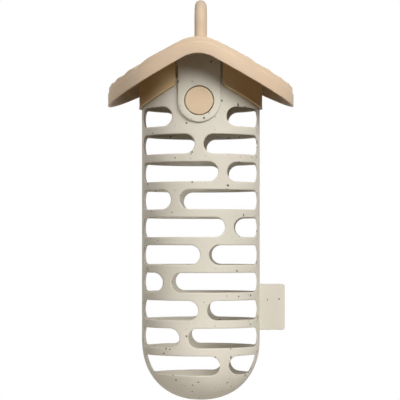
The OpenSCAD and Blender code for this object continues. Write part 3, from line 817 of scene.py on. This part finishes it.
def screw_sheets(diameter, reach, centre):
    """A pan head screw that points up. Its face sinks where a point lies in either arm of the cross, and
    its shank's radius swings with height and turn together, which makes the thread."""
    head_height, head, face = 0.55 * diameter, diameter, 0.8 * diameter
    turn = np.linspace(0, 2 * np.pi, 64, endpoint=False)[:, None]
    radius = np.concatenate([np.linspace(0, face, 14), [head * 0.93, head, head, 0]])
    level = np.concatenate([np.zeros(14), [0.12, 0.4, 1.0, 1.0]]) * head_height
    x, y = radius * np.cos(turn), radius * np.sin(turn)
    wide, long, wide_edge, long_edge = (share * diameter for share in (0.14, 0.55, 0.08, 0.12))

    def arm(a, b):
        """1 inside one arm of the cross and 0 outside, with soft edges."""
        return smooth_step((wide - np.abs(a)) / wide_edge + 0.5) * smooth_step(
            (long - np.abs(b)) / long_edge + 0.5)

    sink = np.maximum(arm(x, y), arm(y, x)) * 0.5 * head_height * (level == 0)
    cap = from_xyz(x, y, level - head_height + sink)
    spin = np.linspace(0, 2 * np.pi, 24, endpoint=False)[:, None]
    along = np.linspace(-head_height / 2, reach, 90)
    pitch = 0.42 * diameter
    wave = np.abs((along / pitch - spin / (2 * np.pi)) % 1 - 0.5) * 2
    taper = np.clip((reach - along) / (0.6 * diameter), 0, 1) * (along > along[0])
    shank = (0.39 + 0.11 * (1 - wave) ** 2) * diameter * taper
    rod = from_xyz(shank * np.cos(spin), shank * np.sin(spin), along)
    return [(cap + centre, (True, False)), (rod + centre, (True, False))]


def tag_sheets(tag, basket):
    """The tag: a flat plate with round outer corners and soft edges, and a barbed lug through each solid
    band of the basket's wall beside it."""
    start, stop = basket.radius - basket.wall / 2, basket.radius + tag.reach
    outline = rounded_rectangle((stop - start) / 2, tag.height / 2, tag.corner, 7)
    outline = outline + np.array([(start + stop) / 2, tag.middle])
    grid, wrap = rounded_block(outline, -tag.thick / 2, tag.thick / 2, tag.edge, 6)
    sheets = [(grid[..., [0, 2, 1]], wrap)]
    rows = np.arange(basket.rows - 1)
    bands = basket.first_slot - (rows + 0.5) * basket.slot_pitch
    inside, catch_gap = basket.radius - basket.wall, 0.1 * MM
    tip, catch, half = inside - 2 * tag.barb, inside - catch_gap, tag.lug_thick / 2
    outline = np.array([[basket.radius, -half], [basket.radius, half], [catch, half],
                        [catch, half + tag.barb], [tip, half], [tip, -half],
                        [catch, -half - tag.barb], [catch, -half]])[::-1]
    for z in bands[np.abs(bands - tag.middle) < (tag.height - tag.lug) / 2]:
        ends = [from_xyz(outline[:, 0], outline[:, 1], z + s * tag.lug / 2) for s in (-1, 1)]
        spine = from_xyz(outline[:, 0], 0 * half, z)
        caps = [np.where([False, True, False], spine, end) for end in ends]
        sheets.append((np.stack([caps[0], ends[0], ends[1], caps[1]]), (False, True)))
    return sheets


# Materials


def node_helpers(tree):
    """Two helpers for a node tree: one adds a node with its settings, and one links two sockets."""

    def add(kind, **settings):
        """A new node; a setting is one of its sockets, or else one of its properties."""
        node = tree.nodes.new(kind)
        for key, value in settings.items():
            if key in node.inputs:
                node.inputs[key].default_value = value
            else:
                setattr(node, key, value)
        return node

    def link(start, end):
        tree.links.new(start, end)

    return add, link


def node_tree(name):
    """A new material, its shader, and the two helpers of its node tree."""
    material = bpy.data.materials.new(name)
    material.use_nodes = True
    return material, material.node_tree.nodes["Principled BSDF"], *node_helpers(material.node_tree)


def map_range(add, link, value, start=(0, 1), end=(0, 1)):
    """The value, moved from its start range to the end range and kept within it."""
    node = add("ShaderNodeMapRange")
    for name, number in zip(("From Min", "From Max", "To Min", "To Max"), (*start, *end)):
        node.inputs[name].default_value = number
    link(value, node.inputs["Value"])
    return node.outputs["Result"]


def maths(add, link, operation, first, second):
    """Result of a Math node; a value is a socket or a number."""
    node = add("ShaderNodeMath", operation=operation)
    for index, value in enumerate((first, second)):
        if isinstance(value, bpy.types.NodeSocket):
            link(value, node.inputs[index])
        else:
            node.inputs[index].default_value = value
    return node.outputs["Value"]


def noise(add, link, place, **settings):
    """Noise texture over these places."""
    node = add("ShaderNodeTexNoise", **settings)
    link(place, node.inputs["Vector"])
    return node.outputs["Fac"]


def mix_colour(add, link, share, first, second):
    """Mix of two colours by a share; a colour is a socket or three numbers."""
    mix = add("ShaderNodeMix", data_type="RGBA")
    for index, value in ((6, first), (7, second)):
        if isinstance(value, bpy.types.NodeSocket):
            link(value, mix.inputs[index])
        else:
            mix.inputs[index].default_value = (*value, 1)
    link(share, mix.inputs[0])
    return mix.outputs[2]


def toned(base, *shares):
    """The colour with each channel times its share, and none above one."""
    return [min(1, channel * share) for channel, share in zip(base, shares)]


def moulded_surface(shader, add, link, place, grain, strength):
    """Fine uneven gloss and a low moulded grain, as satin plastic has."""
    fine = noise(add, link, place, Scale=grain, Detail=3.0, Roughness=0.6)
    wide = noise(add, link, place, Scale=90.0, Detail=2.0)
    bump = add("ShaderNodeBump", Strength=strength, Distance=0.2 * MM)
    shader.inputs["Specular IOR Level"].default_value = 0.2
    link(map_range(add, link, wide, end=(0.42, 0.60)), shader.inputs["Roughness"])
    link(fine, bump.inputs["Height"])
    link(bump.outputs["Normal"], shader.inputs["Normal"])


def beige_plastic(name, base):
    """Satin beige plastic: a base colour with faint clouds of a warmer and a greyer tone."""
    material, shader, add, link = node_tree(name)
    place = add("ShaderNodeTexCoord").outputs["Object"]
    clouds = noise(add, link, place, Scale=38.0, Detail=4.0, Roughness=0.62)
    grains = noise(add, link, place, Scale=900.0, Detail=2.0)
    spread = map_range(add, link, clouds, (0.35, 0.65))
    cloudy = mix_colour(add, link, spread, toned(base, 1.03, 1.00, 0.95), toned(base, 0.96, 0.965, 0.985))
    pale = map_range(add, link, grains, (0.62, 0.8), (0, 0.35))
    grained = mix_colour(add, link, pale, cloudy, toned(base, 1.12, 1.12, 1.12))
    link(grained, shader.inputs["Base Color"])
    moulded_surface(shader, add, link, place, 1400.0, 0.12)
    return material


def fleck_share(add, link, place, cell, size, stretch, keep):
    """1 inside a fleck and 0 outside: a point per cell of space, as large as its own chance number makes
    it, seen where the surface cuts it; most cells have none. Noise pulls the flecks into odd shapes."""
    wobble = add("ShaderNodeTexNoise", Scale=700.0, Detail=1.0)
    pull = add("ShaderNodeVectorMath", operation="MULTIPLY_ADD")
    pull.inputs[1].default_value = [1.2 * MM] * 3
    shape = add("ShaderNodeMapping")
    shape.inputs["Scale"].default_value = stretch
    spots = add("ShaderNodeTexVoronoi", Scale=1 / (cell * MM))
    link(place, wobble.inputs["Vector"])
    link(wobble.outputs["Color"], pull.inputs[0])
    link(place, pull.inputs[2])
    link(pull.outputs["Vector"], shape.inputs["Vector"])
    link(shape.outputs["Vector"], spots.inputs["Vector"])
    chance = add("ShaderNodeSeparateColor")
    link(spots.outputs["Color"], chance.inputs["Color"])
    limit = map_range(add, link, chance.outputs["Red"], (1 - keep, 1), (0, size / cell))
    inside = maths(add, link, "SUBTRACT", limit, spots.outputs["Distance"])
    return map_range(add, link, inside, (0, 0.18 / cell))


def speckled_plastic(name, base, fleck):
    """Recycled plastic: a pale base with faint pinkish and greenish clouds, sparse dark flecks, and
    smaller grey brown ones."""
    material, shader, add, link = node_tree(name)
    place = add("ShaderNodeTexCoord").outputs["Object"]
    clouds = noise(add, link, place, Scale=30.0, Detail=4.0, Roughness=0.65)
    veins = noise(add, link, place, Scale=75.0, Detail=3.0, Distortion=0.6)
    spread = map_range(add, link, clouds, (0.35, 0.65))
    vein = map_range(add, link, veins, (0.55, 0.75), (0, 0.5))
    shade = mix_colour(add, link, spread, toned(base, 0.975, 0.985, 0.96), toned(base, 1.02, 0.995, 1.0))
    shade = mix_colour(add, link, vein, shade, toned(base, 0.93, 0.915, 0.905))
    for cell, size, stretch, keep, tone, depth in (
            (5.0, 1.15, (1, 1, 1), 0.34, fleck, 0.95), (5.6, 1.2, (1, 1, 0.55), 0.2, fleck, 0.9),
            (3.3, 0.65, (1, 1, 1), 0.3, toned(fleck, 2.5, 2.5, 2.5), 0.65)):
        share = fleck_share(add, link, place, cell, size, stretch, keep)
        shade = mix_colour(add, link, maths(add, link, "MULTIPLY", share, depth), shade, tone)
    link(shade, shader.inputs["Base Color"])
    moulded_surface(shader, add, link, place, 1100.0, 0.16)
    return material


def plated_steel(name, base):
    """Zinc plated steel: fine turning marks in its gloss, and faint clouds in the plating."""
    material, shader, add, link = node_tree(name)
    place = add("ShaderNodeTexCoord").outputs["Object"]
    clouds = noise(add, link, place, Scale=1500.0, Detail=3.0)
    link(map_range(add, link, clouds, end=(0.22, 0.42)), shader.inputs["Roughness"])
    shade = mix_colour(add, link, clouds, base, toned(base, 0.82, 0.82, 0.82))
    link(shade, shader.inputs["Base Color"])
    shader.inputs["Metallic"].default_value = 1.0
    return material


def finish(kind):
    """The material of this finish, made on first use."""
    if kind in bpy.data.materials:
        return bpy.data.materials[kind]
    tones = bpy.context.scene.feeder_colours
    if kind == "speckled_recycled_plastic":
        return speckled_plastic(kind, list(tones.basket), list(tones.fleck))
    if kind == "zinc_plated_steel":
        return plated_steel(kind, list(tones.steel))
    return beige_plastic(kind, list(getattr(tones, kind.removeprefix("beige_"))))


# Stage and operators


class FEEDER_OT_stage(bpy.types.Operator):
    """Make the pale floor, the soft lights and the camera"""

    bl_idname = "feeder.stage"
    bl_label = "Stage"

    def execute(self, context):
        scene, studio = context.scene, context.scene.feeder_studio
        hook = scene.feeder_basket.hook_height
        roof, target, bottom = (Vector((0, 0, z)) for z in (-0.06, studio.camera_height - hook, -hook))
        make_floor(-hook - studio.floor_drop, scene.feeder_colours.floor, studio.floor_glow)
        make_world(studio.ambient, scene.feeder_colours.ambient)
        make_light("key", (0.95, -1.33, 0.80), roof, size=1.1, power=studio.key, spread=70)
        make_light("fill", (-1.5, -0.9, 0.35), target, size=1.4, power=studio.fill, spread=90)
        make_light("low", (0.05, -0.2, -0.5), bottom, size=0.2, power=studio.low, spread=120)
        camera = bpy.data.objects.new("camera", bpy.data.cameras.new("camera"))
        scene.collection.objects.link(camera)
        turn = studio.camera_turn
        camera.location = target + Vector((np.sin(turn), -np.cos(turn), 0)) * studio.distance
        camera.rotation_euler = (QUARTER, 0, turn)
        camera.data.sensor_width = 36
        camera.data.lens = studio.lens
        camera.data.shift_x, camera.data.shift_y = studio.shift_x, studio.shift_y
        camera.data.clip_end = 50
        scene.camera = camera
        scene.view_settings.view_transform = "Standard"
        return {"FINISHED"}


def make_floor(level, tone, strength):
    """A pale floor. To the camera it also glows, so that it reads as white but keeps its shadow."""
    corners = 4 * np.array([[-1, -1, 0], [1, -1, 0], [1, 1, 0], [-1, 1, 0]]) + np.array([0, 0, level])
    mesh = bpy.data.meshes.new("floor")
    mesh.from_pydata(corners.tolist(), [], [(0, 1, 2, 3)])
    floor = bpy.data.objects.new("floor", mesh)
    bpy.context.scene.collection.objects.link(floor)
    material, shader, add, link = node_tree("floor")
    shader.inputs["Base Color"].default_value = (*tone, 1)
    shader.inputs["Roughness"].default_value = 0.9
    shader.inputs["Emission Color"].default_value = (1, 1, 1, 1)
    glow = maths(add, link, "MULTIPLY", camera_share(add, link), strength)
    link(glow, shader.inputs["Emission Strength"])
    mesh.materials.append(material)


def camera_share(add, link):
    """1 for the camera's own rays and for reflected and refracted ones, and 0 for those that light."""
    path = add("ShaderNodeLightPath")
    share = path.outputs["Is Camera Ray"]
    for name in ("Is Glossy Ray", "Is Transmission Ray"):
        share = maths(add, link, "MAXIMUM", share, path.outputs[name])
    return share


def make_world(ambient, tone):
    """Even light from all round, which shows as white behind the object."""
    world = bpy.data.worlds.new("studio")
    bpy.context.scene.world = world
    world.use_nodes = True
    add, link = node_helpers(world.node_tree)
    share = camera_share(add, link)
    background = world.node_tree.nodes["Background"]
    link(mix_colour(add, link, share, tone, (1, 1, 1)), background.inputs["Color"])
    link(map_range(add, link, share, end=(ambient, 1)), background.inputs["Strength"])


def make_light(name, place, target, size, power, spread):
    """A round soft box, aimed at a point; its spread in degrees keeps most of its light on the object."""
    light = bpy.data.lights.new(name, "AREA")
    light.energy, light.size, light.shape, light.spread = power, size, "DISK", np.radians(spread)
    lamp = bpy.data.objects.new(name, light)
    lamp.visible_camera = False
    lamp.location = place
    lamp.rotation_euler = (target - Vector(place)).to_track_quat("-Z", "Y").to_euler()
    bpy.context.scene.collection.objects.link(lamp)


class FEEDER_OT_basket(bpy.types.Operator):
    """Make the speckled basket with its slots and its two tongues"""

    bl_idname = "feeder.basket"
    bl_label = "Basket"

    def execute(self, context):
        scene = context.scene
        sizes, tongue, latch = scene.feeder_basket, scene.feeder_tongue, scene.feeder_latch
        sheets = basket_sheets(sizes, tongue, latch)
        sheets += [tongue_sheet(face, sizes, tongue, latch, scene.feeder_roof) for face in (FRONT, REAR)]
        make_piece("basket_moulding", sheets, finish("speckled_recycled_plastic"), "basket",
                   "basket")
        return {"FINISHED"}


class FEEDER_OT_tag(bpy.types.Operator):
    """Make the plain side tag"""

    bl_idname = "feeder.tag"
    bl_label = "Side tag"

    def execute(self, context):
        scene = context.scene
        sheets = tag_sheets(scene.feeder_tag, scene.feeder_basket)
        make_piece("side_tag_plate", sheets, finish("speckled_recycled_plastic"), "side_tag",
                   "basket")
        return {"FINISHED"}


class FEEDER_OT_roof(bpy.types.Operator):
    """Make the roof's shell with its rolled deck, rim band, pads and screw posts"""

    bl_idname = "feeder.roof"
    bl_label = "Roof"

    def execute(self, context):
        scene = context.scene
        roof, screws = scene.feeder_roof, scene.feeder_screws
        places = lid_screw_places(screws, scene.feeder_collar, scene.feeder_latch, scene.feeder_basket)
        sheets = roof_sheets(roof) + under_roof_sheets(roof, scene.feeder_loop, screws, places)
        make_piece("roof_moulding", sheets, finish("beige_roof"), "roof_shell", "lid")
        return {"FINISHED"}


class FEEDER_OT_collar(bpy.types.Operator):
    """Make the collar under the roof"""

    bl_idname = "feeder.collar"
    bl_label = "Collar"

    def execute(self, context):
        scene = context.scene
        sheets = collar_sheets(scene.feeder_roof, scene.feeder_collar, scene.feeder_basket,
                               scene.feeder_tongue)
        # Its beige_collar material is a deeper, warmer copy of the roof's beige: painted shade for the shadow
        # under the roof.
        make_piece("collar_moulding", sheets, finish("beige_collar"), "neck_collar", "lid")
        return {"FINISHED"}


class FEEDER_OT_latches(bpy.types.Operator):
    """Make the two snap latches, each a button on a spring arm from a foot under the lid"""

    bl_idname = "feeder.latches"
    bl_label = "Latches"

    def execute(self, context):
        scene = context.scene
        latch, hook = scene.feeder_latch, scene.feeder_basket.hook_height
        for face, node, body in ((FRONT, "front_latch", "front_button"), (REAR, "rear_latch", "rear_button")):
            sheets = latch_sheets(face, latch, scene.feeder_basket, scene.feeder_tongue)
            piece = make_piece(node + "_moulding", sheets, finish("beige_button"), node)
            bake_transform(piece)
        return {"FINISHED"}


class FEEDER_OT_loop(bpy.types.Operator):
    """Make the hanging loop"""

    bl_idname = "feeder.loop"
    bl_label = "Hanging loop"

    def execute(self, context):
        scene = context.scene
        sheets = loop_sheets(scene.feeder_loop, scene.feeder_roof)
        make_piece("loop_rod", sheets, finish("beige_loop"), "hanging_loop", "lid")
        return {"FINISHED"}


class FEEDER_OT_screws(bpy.types.Operator):
    """Make the screws of the collar, the latches and the loop"""

    bl_idname = "feeder.screws"
    bl_label = "Screws"

    def execute(self, context):
        scene = context.scene
        screws, loop = scene.feeder_screws, scene.feeder_loop
        places = lid_screw_places(screws, scene.feeder_collar, scene.feeder_latch, scene.feeder_basket)
        sheets = []
        for place in places:
            sheets += screw_sheets(screws.lid, screws.lid_length, place[:3])
        steel = finish("zinc_plated_steel")
        make_piece("lid_screw_set", sheets, steel, "lid_screws", "lid", sharp=50)
        sheets = []
        for face in (FRONT, REAR):
            spot = np.array([0, face * loop.leg, loop.socket - loop.socket_floor])
            sheets += screw_sheets(screws.loop, screws.loop_length, spot)
        make_piece("loop_screw_set", sheets, steel, "loop_screws", "lid", sharp=50)
        return {"FINISHED"}


class FEEDER_PT_panel(bpy.types.Panel):
    """Sidebar panel that lists the feeder's pieces"""

    bl_label = "Suet Ball Feeder"
    bl_idname = "FEEDER_PT_panel"
    bl_space_type = "VIEW_3D"
    bl_region_type = "UI"
    bl_category = "Feeder"

    def draw(self, context):
        for operator in OPERATORS:
            self.layout.operator(operator.bl_idname)


GROUPS = {
    "feeder_basket": FeederBasketSizes, "feeder_tongue": FeederTongueSizes,
    "feeder_latch": FeederLatchSizes, "feeder_roof": FeederRoofSizes,
    "feeder_collar": FeederCollarSizes, "feeder_loop": FeederLoopSizes,
    "feeder_screws": FeederScrewSizes, "feeder_tag": FeederTagSizes,
    "feeder_colours": FeederColours, "feeder_studio": FeederStudio,
}
OPERATORS = (FEEDER_OT_stage, FEEDER_OT_basket, FEEDER_OT_tag, FEEDER_OT_roof, FEEDER_OT_collar,
             FEEDER_OT_latches, FEEDER_OT_loop, FEEDER_OT_screws)


def register():
    """Register the sizes, operators and panel, and hang the sizes on the scene."""
    for group in GROUPS.values():
        bpy.utils.register_class(group)
    for operator in OPERATORS:
        bpy.utils.register_class(operator)
    bpy.utils.register_class(FEEDER_PT_panel)
    for name, group in GROUPS.items():
        setattr(bpy.types.Scene, name, PointerProperty(type=group))


def unregister():
    """Take back what register added, in reverse."""
    for name in GROUPS:
        delattr(bpy.types.Scene, name)
    bpy.utils.unregister_class(FEEDER_PT_panel)
    for operator in reversed(OPERATORS):
        bpy.utils.unregister_class(operator)
    for group in reversed(list(GROUPS.values())):
        bpy.utils.unregister_class(group)


def main():
    """Register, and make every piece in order."""
    register()
    bpy.ops.feeder.stage()
    bpy.ops.feeder.basket()
    bpy.ops.feeder.tag()
    bpy.ops.feeder.roof()
    bpy.ops.feeder.collar()
    bpy.ops.feeder.latches()
    bpy.ops.feeder.loop()
    bpy.ops.feeder.screws()


if __name__ == "__main__":
    main()
